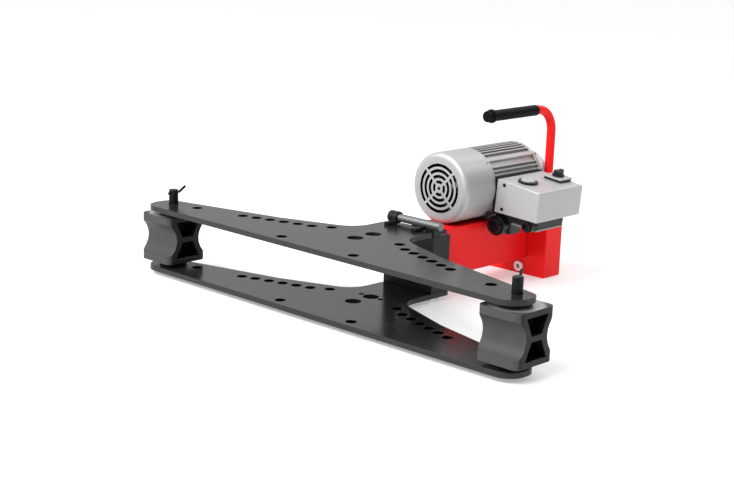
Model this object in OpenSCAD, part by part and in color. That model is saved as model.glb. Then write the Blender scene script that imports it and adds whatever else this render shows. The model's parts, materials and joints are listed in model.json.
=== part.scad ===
// Electro-hydraulic pipe bender with two closed wing plates.
// X runs along the wings, Y from the tip pins back to the pump, Z up from the floor.

/* [Wing plates] */
// Distance from the ram axis to each tip pin
pin_reach = 502; // [470:1:540]
// Thickness of the upper and the lower wing plate
plate_t = 12; // [8:0.5:16]
// Clear height between the wing plates
plate_gap = 128; // [118:1:150]
// Height of the ring feet under the wing tips
foot_h = 10; // [8:0.5:16]
// Distance from the pin line forward to the straight front edge
front_edge = 57; // [50:1:66]
// Front corner radius of the wing tips
tip_r = 40; // [30:1:44]
// Rear corner radius of the wing tips
tip_rear_r = 30; // [20:1:34]
// Plate beyond each tip pin
tip_over = 40; // [34:1:50]
// Distance from the pin line back to the highest point of the tip's rear corner
tip_rear = 27; // [24:1:40]
// Slope of the rear edge from the tip to the shoulder, in degrees
tip_slope = 13.8; // [12:0.2:16]
// Distance of the shoulder from the ram axis
shoulder_reach = 242; // [200:1:280]
// Slope of the rear edge from the shoulder up to the neck, in degrees
shoulder_slope = 20.8; // [15:0.2:26]
// Half width of the neck that carries the cylinder
neck_half = 72; // [66:1:84]
// Radius between the rear edge and the neck
neck_fillet = 62; // [30:1:80]
// Distance from the pin line back to the end of the upper plate's neck
neck_end = 250; // [240:1:280]
// Length of the lower plate that runs on past the cylinder block
neck_lap = 1; // [0:1:20]

/* [Hole pattern] */
// Diameter of the pin holes
pin_hole_d = 23; // [22.6:0.1:26]
// Number of holes in the slanting row on each wing
row_count = 6; // [3:1:7]
// Distance of the row's outermost hole from the ram axis
row_reach = 305.5; // [290:0.5:320]
// Distance of the row's outermost hole behind the pin line
row_back = 38; // [30:0.5:46]
// Step of the row along the wing
row_step_x = 33.5; // [28:0.5:36]
// Step of the row towards the neck
row_step_y = 10.4; // [8:0.2:12]
// Distance of the lone outer hole from the ram axis
outer_reach = 430.5; // [400:0.5:440]
// Distance of the lone outer hole behind the pin line
outer_back = 11; // [0:0.5:20]
// Distance of the lone inner hole from the ram axis
inner_reach = 101; // [80:0.5:110]
// Distance of the lone inner hole behind the pin line
inner_back = 114.5; // [108:0.5:125]
// Distance of each front hole from the ram axis
front_reach = 106; // [80:0.5:140]
// Distance of each front hole ahead of the pin line
front_ahead = 31; // [20:0.5:38]
// Diameter of the two holes on the ram axis
centre_hole_d = 35; // [24:0.5:40]
// Distance of the first hole on the ram axis behind the pin line
centre_back = 84; // [60:0.5:90]
// Spacing of the two holes on the ram axis
centre_step = 56; // [48:0.5:70]
// Diameter of the two small holes beside the rear centre hole of the lower plate
small_hole_d = 12; // [8:0.5:16]
// Distance of the small holes from the ram axis
small_reach = 29; // [28:0.5:40]

/* [Pins and supports] */
// Diameter of the tip pins
pin_d = 22; // [18:0.1:22.2]
// Length of pin that stands above the upper plate
pin_head_h = 33; // [25:1:50]
// Clear height between the pin's lower end and the floor
pin_lift = 3; // [1:0.5:6]
// Diameter of the bent cross bar in the pin
bar_d = 6; // [4:0.5:8]
// Outer diameter of the washers above and below a support
washer_d = 62; // [50:1:80]
// Thickness of those washers
washer_t = 9.5; // [5:0.5:14]
// Outer diameter of the ring feet
foot_d = 32; // [30:1:60]
// Width of a support along the wing
support_w = 104; // [90:1:108]
// Depth of a support across the wing
support_d = 110; // [96:1:112]
// Radius of the saddle groove in a support
groove_r = 42; // [36:1:60]
// Depth of the saddle groove
groove_depth = 22.5; // [12:0.5:23]
// Corner radius of a support seen from above
support_r = 16; // [8:1:24]
// Wall above and below the side pockets of a support
pocket_wall = 12; // [8:0.5:16]
// Wall beside the pockets at their wide ends
pocket_flank = 22; // [16:0.5:26]
// Wall beside the pockets at the rib
pocket_cheek = 17; // [10:0.5:20]
// Thickness of the rib between the two pockets
pocket_rib = 11; // [6:0.5:16]
// Depth of the pockets
pocket_depth = 30; // [10:1:32]

/* [Cylinder and hinge] */
// Gap between the upper neck and the cylinder block
block_gap = 6; // [4:0.5:10]
// Depth of the cylinder block along the ram
block_d = 57; // [40:1:60]
// Diameter of the ram
ram_d = 44; // [36:1:48]
// Length of ram that stands out of the block at rest
ram_proud = 10; // [4:0.5:20]
// Working stroke of the ram
ram_stroke = 250; // [150:1:255]
// Diameter of the former socket in the ram nose
socket_d = 25; // [16:0.5:28]
// Depth of the former socket
socket_depth = 40; // [20:1:60]
// Outer diameter of the cylinder tube
tube_d = 72; // [68:1:76]
// Wall of the cylinder tube
tube_wall = 7; // [5:0.5:8]
// Thickness of the closed end of the cylinder tube
tube_end_t = 10; // [6:0.5:12]
// Length of the gland bush
gland_l = 20; // [16:1:22]
// Length of the piston
piston_l = 28; // [20:1:30]
// Width of the piston seal
seal_w = 8; // [5:0.5:10]
// Depth of the piston seal's groove
seal_depth = 4; // [2:0.5:6]
// Diameter of the hinge rod
hinge_d = 18; // [12:0.5:20]
// Outer diameter of the hinge knuckles
knuckle_d = 27; // [24:0.5:34]
// Length of each hinge knuckle
knuckle_l = 13; // [10:0.5:18]
// Distance of the hinge from the left side of the neck
hinge_in = 12; // [0:1:16]
// Length of the saddle under the right end of the hinge rod
saddle_l = 25; // [16:1:30]
// Length of rod that stands out past the right saddle
rod_proud = 16; // [4:1:24]
// Thickness of the front flange
flange_t = 18; // [16:0.5:30]

/* [Reservoir] */
// Width of the housing around the cylinder
housing_w = 90; // [88:1:120]
// Height of the housing
housing_h = 111; // [108:1:140]
// Distance of the housing's underside below the ram axis
housing_below = 43; // [42:0.5:50]
// Length of the housing
housing_l = 300; // [298:1:360]
// Wall of the housing and the tank
sheet_t = 4; // [3:0.5:5]
// Width of the rear tank
tank_w = 198; // [190:1:240]
// Depth of the rear tank along the ram
tank_d = 62; // [60:1:90]
// Thickness of the tank lid
lid_t = 6; // [4:0.5:10]
// Diameter of the drain plug's collar
drain_d = 24; // [18:0.5:26]
// Distance of the drain plug to the right of the ram axis
drain_side = 25; // [0:1:40]
// Height of the drain plug above the floor
drain_up = 18; // [14:0.5:24]

/* [Motor] */
// Outer radius of the motor over its fins
motor_r = 81; // [78:0.5:86]
// Gap between the housing and the motor
motor_lift = 1.5; // [1:0.5:8]
// Length of the fan cowl
cowl_l = 102; // [90:1:120]
// Wall of the fan cowl
cowl_wall = 2; // [1.5:0.1:3]
// Radius of the cowl's rounded shoulder
shoulder_r = 12; // [8:0.5:20]
// Number of slot rings in the grille
slot_rings = 4; // [2:1:4]
// Outer radius of the outermost slot ring
slot_outer_r = 56; // [54:0.5:60]
// Width of a grille slot
slot_w = 7; // [4:0.1:8]
// Pitch of the slot rings
slot_pitch = 12.7; // [11:0.1:13]
// Width of the grille's spokes
spoke_w = 6; // [3:0.5:10]
// Radius of the grille's centre hole
eye_r = 4; // [2:0.5:5]
// Length of the finned motor body
body_l = 165; // [156:1:190]
// Height of the fins
fin_h = 7; // [4:0.5:9]
// Thickness of the fins
fin_t = 3.5; // [2:0.5:8]
// Number of fin places around the body
fin_count = 52; // [16:1:60]
// Width of the four broad ribs along the tie bolts
tie_rib_w = 11; // [8:0.5:16]
// Angle of the tie bolts above and below the horizontal
tie_turn = 50; // [40:1:55]
// Outer radius of the stator core
stator_r = 60; // [56:0.5:64]
// Outer radius of the rotor core
rotor_r = 40; // [34:0.5:44]
// Length of the rotor and stator cores
core_l = 80; // [60:1:90]
// Diameter of the motor shaft
shaft_d = 18; // [14:0.5:20]
// Outer diameter of the shaft bearings
bearing_d = 40; // [36:1:44]
// Width of the shaft bearings
bearing_w = 12; // [9:0.5:13]
// Thickness of the shield at the fan end
fan_shield_t = 16; // [15:0.5:20]
// Length of the shield at the drive end
drive_shield_l = 22; // [20:1:40]
// Radius of the fan
fan_r = 62; // [50:1:66]
// Length of the fan along the shaft
fan_l = 28; // [16:1:32]
// Number of fan blades
fan_blades = 7; // [5:1:10]

/* [Pump] */
// Setback of the pump body from the front of the tank
pump_setback = 9; // [4:1:12]
// Depth of the pump body along the shaft
pump_d = 48; // [44:1:50]
// Radius of the pump body around the shaft
pump_r = 50; // [44:1:54]
// Radius of the eccentric
eccentric_r = 18; // [15:0.5:20]
// Throw of the eccentric
eccentric_throw = 3; // [1:0.5:4]
// Diameter of the pump plunger
plunger_d = 14; // [10:0.5:18]
// Length of the pump plunger
plunger_l = 40; // [25:1:44]

/* [Electrical boxes] */
// Width of the terminal box away from the motor
term_w = 122; // [110:1:140]
// Setback of the terminal box from each end of the motor body
term_inset = 1; // [0.5:0.5:6]
// Height of the terminal box beside the motor
term_h_in = 76; // [66:1:84]
// Height of the terminal box at its outer side
term_h_out = 70; // [50:1:71]
// Tilt of the terminal box, in degrees
term_tilt = 4; // [0:0.5:6]
// Edge radius of the terminal box
term_r = 4; // [2:0.5:8]
// Thickness of the gasket behind the terminal box
gasket_t = 3; // [2:0.5:4]
// Width of the capacitor box
cap_w = 120; // [100:1:124]
// Depth of the capacitor box along the motor
cap_d = 99; // [80:1:110]
// Height of the capacitor box
cap_h = 22; // [16:1:30]
// Setback of the capacitor box from the front of the terminal box
cap_front = 26; // [20:1:30]
// Thickness of the tray under the capacitor box
tray_t = 5; // [2:0.5:6]
// Width of the boss that carries the power inlet
boss_w = 48; // [46:1:60]
// Height of the boss that carries the power inlet
boss_h = 52; // [46:1:56]
// Diameter of the power inlet gland
inlet_d = 46; // [36:1:48]
// Length of the power inlet gland
inlet_l = 30; // [20:1:36]
// Diameter of the cable gland
gland_d = 29; // [20:1:30]
// Length of the cable gland
cable_gland_l = 22; // [14:1:26]
// Diameter of the start button's bezel
bezel_d = 45; // [38:1:48]
// Height of the bezel
bezel_h = 5; // [4:0.5:8]
// Diameter of the start button
button_d = 32; // [20:1:34]
// Travel of the start button
button_travel = 3; // [2:0.5:3]
// Width of the selector plate
plate_w = 50; // [44:1:60]
// Depth of the selector plate
plate_d = 46; // [40:1:48]
// Height of the selector's base
base_h = 6; // [4:0.5:16]
// Diameter of the selector knob
knob_d = 28; // [18:1:34]
// Height of the selector knob
knob_h = 15; // [12:1:24]

/* [Carrying handle] */
// Diameter of the handle tube
handle_d = 21; // [18:0.5:24]
// Gap between the handle tube and the pump body
handle_gap = 10.5; // [7:0.5:14]
// Height of the grip's axis above the floor
handle_top = 401.5; // [380:0.5:430]
// Radius of the bend in the handle tube
bend_r = 55; // [40:1:70]
// Diameter of the grip
grip_d = 25; // [23:0.5:30]
// Length of the grip
grip_l = 177; // [120:1:190]
// Diameter of the ball on the grip's end
ball_d = 31; // [28:0.5:36]

/* [Fits] */
// Clearance between round parts that fit in each other
fit = 0.3; // [0.2:0.05:0.3]

/* [Hidden] */
$fn = 64;
// Length by which a cut runs past the face it opens
overrun = 1;

// Heights of the plates and of the ram axis
gap_z = foot_h + plate_t;
upper_z = gap_z + plate_gap;
deck_z = upper_z + plate_t;
ram_z = gap_z + plate_gap / 2;

// Places along the ram, from the pin line
block_y = neck_end + block_gap;
flange_y = block_y + block_d;
housing_y = flange_y + flange_t;
tank_y = housing_y + housing_l;
tank_end = tank_y + tank_d;
lower_neck_end = flange_y + neck_lap;
nose_y = block_y - ram_proud;

// Wing outline
tip_x = pin_reach + tip_over;
rear_corner = [tip_x - tip_rear_r, tip_rear - tip_rear_r];
rear_start = rear_corner + tip_rear_r * [sin(tip_slope), cos(tip_slope)];
shoulder_rear = rear_start[1] + (rear_start[0] - shoulder_reach) * tan(tip_slope);
shoulder_foot = shoulder_rear + (shoulder_reach - neck_half) * tan(shoulder_slope);
fillet_y = shoulder_foot + neck_fillet * (1 / cos(shoulder_slope) - tan(shoulder_slope));
fillet_start = [
    neck_half + neck_fillet * (1 - sin(shoulder_slope)),
    fillet_y - neck_fillet * cos(shoulder_slope)
];
wing_holes = concat(
    [[pin_reach, 0], [outer_reach, outer_back], [inner_reach, inner_back], [front_reach, -front_ahead]],
    [for (i = [0:row_count - 1]) [row_reach - i * row_step_x, row_back + i * row_step_y]]
);

// Block bolts
bolt_d = 12;
bolt_head_d = 18;
bolt_head_h = 8;
bolt_depth = 24;
bolt_inset = 14;
bolt_xs = [-neck_half + bolt_inset, neck_half - bolt_inset];
bolt_ys = [block_y + bolt_inset, flange_y - bolt_inset];

// Supports
support_h = plate_gap - 2 * washer_t;
support_z = gap_z + washer_t;

// Pins
pin_top = deck_z + pin_head_h;
bar_drop = 8;
bar_stub = 5;
bar_bend_r = 8;
bar_bend = 30;
bar_tail = 19;
left_bar_turn = 95;
right_bar_turn = 118;
pin_chamfer = 1.5;

// Hinge
hinge_set = 5;
hinge_y = block_y + hinge_set;
hinge_z = deck_z + knuckle_d / 2;
hinge_left = hinge_in - neck_half;
saddle_x = neck_half - saddle_l;
saddle_d = 22;
saddle_drop = 4.5;
ear_foot_l = 26;
ear_foot_t = 8;

// Cylinder
tube_inner = tube_d - 2 * tube_wall;
tube_room = 4;
tube_l = housing_l + flange_t - tube_room;
tube_end = flange_y + tube_l;
piston_room = 2;
piston_end = tube_end - tube_end_t - piston_room;
piston_y = piston_end - piston_l;
wiper_w = 8;
wiper_t = 5;
spigot_d = ram_d - 2 * wiper_t;
screw_d = 6;
screw_head_d = 10;
screw_head_h = 6;
screw_depth = 14;
screw_inset = 12;
plug_d = 10;
plug_head_d = 15;
plug_head_h = 5;
plug_depth = 8;
plug_drop = 40;

// Reservoir
housing_z = ram_z - housing_below;
housing_top = housing_z + housing_h;
tank_body_h = housing_top - lid_t;
drain_t = 6;
drain_bore_d = 14;
drain_hex_d = 11;
drain_hex_depth = 5;
cap_gap = 2;
breather_d = 30;
cap_reach = pump_r + cap_gap + breather_d / 2;
cap_neck_d = 20;
cap_height = 16;
cap_lip_h = 6;

// Motor
motor_z = housing_top + motor_lift + motor_r;
pump_y = tank_y + pump_setback;
body_end = pump_y - drive_shield_l;
body_y = body_end - body_l;
cowl_y = body_y - cowl_l;
core_r = motor_r - fin_h;
core_y = body_y + (body_l - core_l) / 2;
air_gap = 1;
winding_l = 22;
winding_t = 14;
pad_reach = 30;
term_sink = 4;
term_drop = 52.5;
fin_skip_from = -atan2(term_h_in - term_drop, motor_r - term_sink);
fin_skip_to = 60;
tie_turns = [-tie_turn, tie_turn, tie_turn - 180, 180 - tie_turn];
tie_clear = (tie_rib_w + fin_t) / core_r * 180 / PI;
pad_margin = 4;
shield_rim = 1;
fan_shield_y = body_y - fan_shield_t;
drive_rim_l = 8;
drive_rim_inset = 1;
drive_rim_r = motor_r - drive_rim_inset;
fan_room = 4;
fan_y = fan_shield_y - fan_l - fan_room;
fan_hub_d = 34;
fan_disc_t = 3;
blade_t = 2.5;
blade_in = fan_hub_d / 2 - blade_t;
blade_out = fan_r - blade_t;
cradle_half = 42;
cradle_l = 110;
cradle_h = 34;

// Pump
cavity_room = 1.5;
cavity_r = eccentric_r + eccentric_throw + cavity_room;
cavity_wall = 8;
eccentric_w = 16;
pump_foot_half = 42;
shaft_room = 1;
shaft_end = pump_y + pump_d - cavity_wall - shaft_room;
shaft_y = fan_y - shaft_room;
eccentric_y = pump_y + (pump_d - eccentric_w) / 2;

// Terminal box
term_d = body_l - 2 * term_inset;
term_x = motor_r - term_sink;
term_y = body_y + term_inset;
term_z = motor_z - term_drop;
term_slab = 1;
top_run = term_w - term_r - term_slab;
top_fall = term_h_in - term_h_out + term_r;
top_slope = atan(top_fall / top_run) - asin(term_r / norm([top_run, top_fall]));
cap_in = 14;
boss_d = 40;
term_screw_d = 8;
term_screw_h = 2;
term_screw_in = 23;
term_screw_up = 10;
inlet_step_share = 0.7;
inlet_core_share = 0.76;
inlet_bore_share = 0.5;
inlet_out = 7;
inlet_drop = 33;
gland_out = 90;
gland_drop = 15;
button_at_share = [0.43, 0.275];
switch_at_share = [0.54, 0.845];
bezel_wall = 5;
button_h = 7;
plate_thick = 3;
base_margin = 2;
knob_stem_d = 10;
knob_grip_w = 11;
knob_disc_h = 5;

// Handle
handle_side = pump_r + handle_gap + handle_d / 2;
handle_back_share = 0.5;
handle_y = tank_y + tank_d * handle_back_share;
socket_wall = 6;
socket_h = 26;
grip_wait = 10;
grip_end = handle_y - bend_r - grip_wait;
grip_lap = 30;

// The rearmost and foremost points set the middle of the footprint
rear_y = tank_end;
middle_y = (rear_y - front_edge) / 2;

module centred() translate([0, -middle_y, 0]) children();
module along_y() rotate([-90, 0, 0]) children();
module on_motor(y) translate([0, y, motor_z]) along_y() children();
module on_ram(y) translate([0, y, ram_z]) along_y() children();
module on_terminal() translate([term_x, term_y, term_z]) rotate([0, term_tilt, 0]) children();
module on_terminal_top(share)
    on_terminal() translate([term_slab, 0, term_h_in]) rotate([0, top_slope, 0])
        translate([term_w * share[0], term_d * share[1], 0]) children();
module box(size) translate([-size[0] / 2, 0, 0]) cube(size);
module ring(outer, inner, height) {
    difference() {
        cylinder(d = outer, h = height);
        translate([0, 0, -overrun]) cylinder(d = inner, h = height + 2 * overrun);
    }
}

// One wing plate seen from above, right half mirrored to the left
module wing_half(neck) {
    difference() {
        union() {
            polygon([
                [0, -front_edge], [tip_x - tip_r, -front_edge], rear_corner, rear_start,
                [shoulder_reach, shoulder_rear], fillet_start, [neck_half, fillet_y],
                [neck_half, neck], [0, neck]
            ]);
            translate([tip_x - tip_r, tip_r - front_edge]) circle(tip_r);
            translate(rear_corner) circle(tip_rear_r);
            translate([rear_corner[0], tip_r - front_edge])
                square([tip_rear_r, rear_corner[1] + front_edge - tip_r]);
        }
        translate([neck_half + neck_fillet, fillet_y]) circle(neck_fillet);
    }
}

module wing_plate(neck) {
    difference() {
        linear_extrude(plate_t) {
            wing_half(neck);
            mirror([1, 0]) wing_half(neck);
        }
        for (side = [-1, 1], hole = wing_holes)
            translate([side * hole[0], hole[1], -overrun])
                cylinder(d = pin_hole_d, h = plate_t + 2 * overrun);
        for (i = [0, 1])
            translate([0, centre_back + i * centre_step, -overrun])
                cylinder(d = centre_hole_d, h = plate_t + 2 * overrun);
    }
}

module lower_wing_plate() {
    color("dimgray") translate([0, 0, foot_h]) difference() {
        wing_plate(lower_neck_end);
        for (side = [-1, 1])
            translate([side * small_reach, centre_back + centre_step, -overrun])
                cylinder(d = small_hole_d, h = plate_t + 2 * overrun);
        for (x = bolt_xs, y = bolt_ys)
            translate([x, y, -overrun]) cylinder(d = bolt_d + 2 * fit, h = plate_t + 2 * overrun);
    }
}

module upper_wing_plate() {
    color("dimgray") translate([0, 0, upper_z]) wing_plate(neck_end);
}

module tip_feet() {
    color("black") for (side = [-1, 1])
        translate([side * pin_reach, 0, 0]) ring(foot_d, pin_hole_d, foot_h);
}

module support_washers() {
    color("black") for (side = [-1, 1], z = [gap_z, upper_z - washer_t])
        translate([side * pin_reach, 0, z]) ring(washer_d, pin_hole_d, washer_t);
}

// Upright block that joins the plates to the cylinder
module cylinder_block() {
    color("black") difference() {
        translate([0, block_y, gap_z]) box([2 * neck_half, block_d, plate_gap]);
        on_ram(block_y - overrun) cylinder(d = ram_d + 2 * fit, h = block_d + 2 * overrun);
        on_ram(block_y - overrun) cylinder(d = ram_d + 2 * (wiper_t + fit), h = wiper_w + overrun);
        for (x = bolt_xs, y = bolt_ys)
            translate([x, y, gap_z - overrun]) cylinder(d = bolt_d + 2 * fit, h = bolt_depth + 2 * overrun);
        flange_screw_places() cylinder(d = screw_d + 2 * fit, h = screw_depth + overrun);
    }
}

module block_bolts() {
    color("silver") for (x = bolt_xs, y = bolt_ys) translate([x, y, foot_h - bolt_head_h]) {
        cylinder(d = bolt_head_d, h = bolt_head_h);
        cylinder(d = bolt_d, h = bolt_head_h + plate_t + bolt_depth);
    }
}

// Space of the hinge rod from the left end to past the right end
module hinge_bore(diameter, length)
    translate([hinge_left, hinge_y, hinge_z]) rotate([0, 90, 0]) cylinder(d = diameter, h = length);

// Knuckle at the left and saddle at the right, both on the cylinder block
module hinge_lugs() {
    color("black") difference() {
        union() {
            hinge_bore(knuckle_d, knuckle_l);
            translate([hinge_left, block_y, upper_z]) cube([knuckle_l, knuckle_d / 2, hinge_z - upper_z]);
            translate([saddle_x, block_y, upper_z])
                cube([saddle_l, saddle_d, hinge_z - saddle_drop - upper_z]);
        }
        translate([-overrun, 0, 0]) hinge_bore(hinge_d + 2 * fit, 2 * neck_half + 2 * overrun);
    }
}

// Knuckle at the left and foot at the right, both on the upper wing plate
module hinge_ears() {
    color("black") difference() {
        union() {
            translate([knuckle_l + fit, 0, 0]) hinge_bore(knuckle_d, knuckle_l);
            for (x = [hinge_left + knuckle_l + fit, saddle_x - fit - knuckle_l])
                translate([x, neck_end - ear_foot_l, deck_z])
                    cube([knuckle_l, hinge_y - neck_end + ear_foot_l, ear_foot_t]);
        }
        translate([-overrun, 0, 0]) hinge_bore(hinge_d + 2 * fit, 2 * neck_half + 2 * overrun);
    }
}

module hinge_rod() color("gray") hinge_bore(hinge_d, neck_half + rod_proud - hinge_left);

module flange_screw_places() {
    for (x = [screw_inset - housing_w / 2, housing_w / 2 - screw_inset],
         z = [housing_z + screw_inset, housing_top - screw_inset])
        translate([x, housing_y, z]) rotate([90, 0, 0]) translate([0, 0, flange_t - overrun]) children();
}

module front_flange() {
    color("black") difference() {
        translate([0, flange_y, housing_z]) box([housing_w, flange_t, housing_h]);
        on_ram(flange_y - overrun) cylinder(d = tube_d + 2 * fit, h = flange_t + 2 * overrun);
        flange_screw_places() translate([0, 0, -flange_t])
            cylinder(d = screw_d + 2 * fit, h = flange_t + 2 * overrun);
        translate([housing_w / 2 - plug_depth, flange_y + flange_t / 2, housing_top - plug_drop])
            rotate([0, 90, 0]) cylinder(d = plug_d + 2 * fit, h = plug_depth + overrun);
    }
}

module flange_screws() {
    color("silver") flange_screw_places() {
        translate([0, 0, overrun - flange_t]) cylinder(d = screw_d, h = flange_t + screw_depth - overrun);
        translate([0, 0, overrun - flange_t - screw_head_h]) cylinder(d = screw_head_d, h = screw_head_h);
    }
}

module oil_port_plug() {
    color("silver") translate([housing_w / 2, flange_y + flange_t / 2, housing_top - plug_drop])
        rotate([0, 90, 0]) {
            cylinder(d = plug_head_d, h = plug_head_h, $fn = 6);
            translate([0, 0, -plug_depth]) cylinder(d = plug_d, h = plug_depth);
        }
}

module cylinder_tube() {
    color("dimgray") on_ram(flange_y) difference() {
        cylinder(d = tube_d, h = tube_l);
        translate([0, 0, -overrun]) cylinder(d = tube_inner, h = tube_l - tube_end_t + overrun);
    }
}

module gland_bush() {
    color("goldenrod") on_ram(flange_y) ring(tube_inner - 2 * fit, ram_d + 2 * fit, gland_l);
}

module rod_wiper() {
    color("darkslategray") on_ram(block_y) ring(ram_d + 2 * wiper_t, ram_d + 2 * fit, wiper_w - fit);
}

module reservoir_housing() {
    color("red") difference() {
        translate([0, housing_y, housing_z]) box([housing_w, housing_l, housing_h]);
        translate([0, housing_y - overrun, housing_z + sheet_t])
            box([housing_w - 2 * sheet_t, housing_l + 2 * overrun, housing_h - 2 * sheet_t]);
    }
}

module rear_tank() {
    color("red") difference() {
        translate([0, tank_y, 0]) box([tank_w, tank_d, tank_body_h]);
        translate([0, tank_y + sheet_t, sheet_t])
            box([tank_w - 2 * sheet_t, tank_d - 2 * sheet_t, tank_body_h]);
        translate([drain_side, tank_y - overrun, drain_up]) along_y()
            cylinder(d = drain_bore_d + 2 * fit, h = sheet_t + 2 * overrun);
    }
}

module tank_lid() {
    color("red") difference() {
        translate([0, tank_y, tank_body_h]) box([tank_w, tank_d, lid_t]);
        translate([-cap_reach, tank_y + tank_d / 2, tank_body_h - overrun])
            cylinder(d = cap_neck_d + 2 * fit, h = lid_t + 2 * overrun);
    }
}

module drain_plug() {
    color("silver") translate([drain_side, tank_y - drain_t, drain_up]) along_y() difference() {
        union() {
            cylinder(d = drain_d, h = drain_t);
            cylinder(d = drain_bore_d, h = drain_t + sheet_t);
        }
        translate([0, 0, -overrun]) cylinder(d = drain_hex_d, h = drain_hex_depth + overrun, $fn = 6);
    }
}

module breather_cap() {
    color("black") translate([-cap_reach, tank_y + tank_d / 2, housing_top]) {
        translate([0, 0, -lid_t]) cylinder(d = cap_neck_d, h = lid_t);
        cylinder(d = cap_neck_d, h = cap_lip_h);
        translate([0, 0, cap_lip_h]) cylinder(d = breather_d, h = cap_height - cap_lip_h);
    }
}

module motor_cradle() {
    color("dimgray") translate([0, body_y + (body_l - cradle_l) / 2, housing_top]) difference() {
        box([2 * cradle_half, cradle_l, cradle_h]);
        translate([0, -overrun, motor_z - housing_top]) along_y()
            cylinder(r = motor_r + fit, h = cradle_l + 2 * overrun, $fn = 4 * $fn);
    }
}

// One fin or rib, left out where the terminal box sits
module fin(turn, width) {
    if (turn < fin_skip_from || turn > fin_skip_to)
        rotate(turn) translate([core_r - fin_h, -width / 2]) square([2 * fin_h, width]);
}

module finned_outline() {
    circle(core_r);
    for (turn = tie_turns) fin(turn, tie_rib_w);
    for (i = [0:fin_count - 1]) {
        turn = i * 360 / fin_count - 180;
        if (min([for (tie = tie_turns) abs(turn - tie)]) > tie_clear) fin(turn, fin_t);
    }
}

// Finned tube with a flat pad on the right for the terminal box
module motor_body() {
    color("silver") difference() {
        union() {
            on_motor(body_y) linear_extrude(body_l) finned_outline();
            on_terminal() translate([-pad_reach, body_y + pad_margin - term_y, pad_margin])
                cube([pad_reach - gasket_t, body_l - 2 * pad_margin, term_h_in - 2 * pad_margin]);
        }
        on_motor(body_y - overrun) cylinder(r = stator_r + fit, h = body_l + 2 * overrun);
    }
}

module stator_core() {
    color("slategray") on_motor(core_y) ring(2 * stator_r, 2 * (rotor_r + air_gap), core_l);
}

module stator_windings() {
    color("chocolate") for (y = [core_y - winding_l, core_y + core_l])
        on_motor(y) ring(2 * (rotor_r + air_gap + winding_t), 2 * (rotor_r + air_gap), winding_l);
}

module fan_end_shield() {
    color("silver") on_motor(fan_shield_y) difference() {
        cylinder(r = motor_r - cowl_wall - fit, h = fan_shield_t);
        translate([0, 0, -overrun]) cylinder(d = shaft_d + 2 * shield_rim, h = fan_shield_t + 2 * overrun);
        translate([0, 0, fan_shield_t - bearing_w])
            cylinder(d = bearing_d + 2 * fit, h = bearing_w + overrun);
    }
}

module bearing(y) {
    color("lightsteelblue") on_motor(y) ring(bearing_d, shaft_d + 2 * fit, bearing_w);
}

module fan_end_bearing() bearing(body_y - bearing_w);

module drive_end_bearing() bearing(body_end);

module drive_end_shield() {
    color("silver") on_motor(body_end) difference() {
        union() {
            cylinder(r = drive_rim_r, h = drive_rim_l);
            translate([0, 0, drive_rim_l])
                cylinder(r1 = drive_rim_r, r2 = pump_r, h = drive_shield_l - drive_rim_l);
        }
        translate([0, 0, -overrun]) cylinder(d = bearing_d + 2 * fit, h = bearing_w + overrun);
        translate([0, 0, -overrun])
            cylinder(d = shaft_d + 2 * shield_rim, h = drive_shield_l + 2 * overrun);
    }
}

// Cup with a rounded shoulder, open at the back
module cowl_form(radius, shoulder, length) {
    rotate_extrude() {
        translate([radius - shoulder, shoulder]) intersection() {
            circle(shoulder);
            translate([0, -shoulder]) square(shoulder);
        }
        square([radius - shoulder, length]);
        translate([0, shoulder]) square([radius, length - shoulder]);
    }
}

module grille_slots() {
    linear_extrude(cowl_wall + 2 * overrun) {
        circle(eye_r);
        for (i = [0:slot_rings - 1]) difference() {
            circle(slot_outer_r - i * slot_pitch);
            circle(slot_outer_r - i * slot_pitch - slot_w);
            for (a = [45, 135]) rotate(a) square([2 * slot_outer_r, spoke_w], center = true);
        }
    }
}

module fan_cowl() {
    color("silver") on_motor(cowl_y) difference() {
        cowl_form(motor_r, shoulder_r, cowl_l);
        translate([0, 0, cowl_wall]) cowl_form(motor_r - cowl_wall, shoulder_r - cowl_wall, cowl_l);
        translate([0, 0, -overrun]) grille_slots();
    }
}

module pump_body() {
    color("dimgray") difference() {
        union() {
            on_motor(pump_y) cylinder(r = pump_r, h = pump_d);
            translate([0, pump_y, housing_top]) box([2 * pump_foot_half, pump_d, motor_z - housing_top]);
        }
        on_motor(pump_y - overrun) cylinder(r = cavity_r, h = pump_d - cavity_wall + overrun);
        plunger_place() translate([0, 0, -plunger_l - overrun])
            cylinder(d = plunger_d + 2 * fit, h = plunger_l + 2 * overrun);
    }
}

// The plunger stands under the eccentric, its tip at the top of the throw
module plunger_place()
    translate([0, pump_y + pump_d / 2, motor_z - eccentric_r - eccentric_throw - fit]) children();

module pump_plunger() {
    color("silver") plunger_place() translate([0, 0, -plunger_l]) cylinder(d = plunger_d, h = plunger_l);
}

module terminal_gasket() {
    color("black") on_terminal() translate([-gasket_t, 0, 0]) cube([gasket_t, term_d, term_h_in]);
}

module terminal_box() {
    color("silver") on_terminal() hull() {
        cube([term_slab, term_d, term_h_in]);
        for (y = [term_r, term_d - term_r]) {
            translate([term_w - term_r, y, term_r]) sphere(term_r, $fn = 24);
            translate([term_w - term_r, y, term_h_out - term_r]) sphere(term_r, $fn = 24);
        }
    }
}

module terminal_screws() {
    color("black") on_terminal() for (z = [term_screw_up, term_h_in - term_screw_up])
        translate([term_screw_in, -term_screw_h, z]) along_y() cylinder(d = term_screw_d, h = term_screw_h);
}

// Flat box under the terminal box with a deeper boss for the power inlet
module capacitor_box() {
    color("dimgray") on_terminal() translate([-cap_in, cap_front, 0]) {
        translate([0, 0, -cap_h]) cube([cap_w, cap_d, cap_h]);
        translate([0, 0, -boss_h]) cube([boss_w, boss_d, boss_h]);
    }
}

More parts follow.
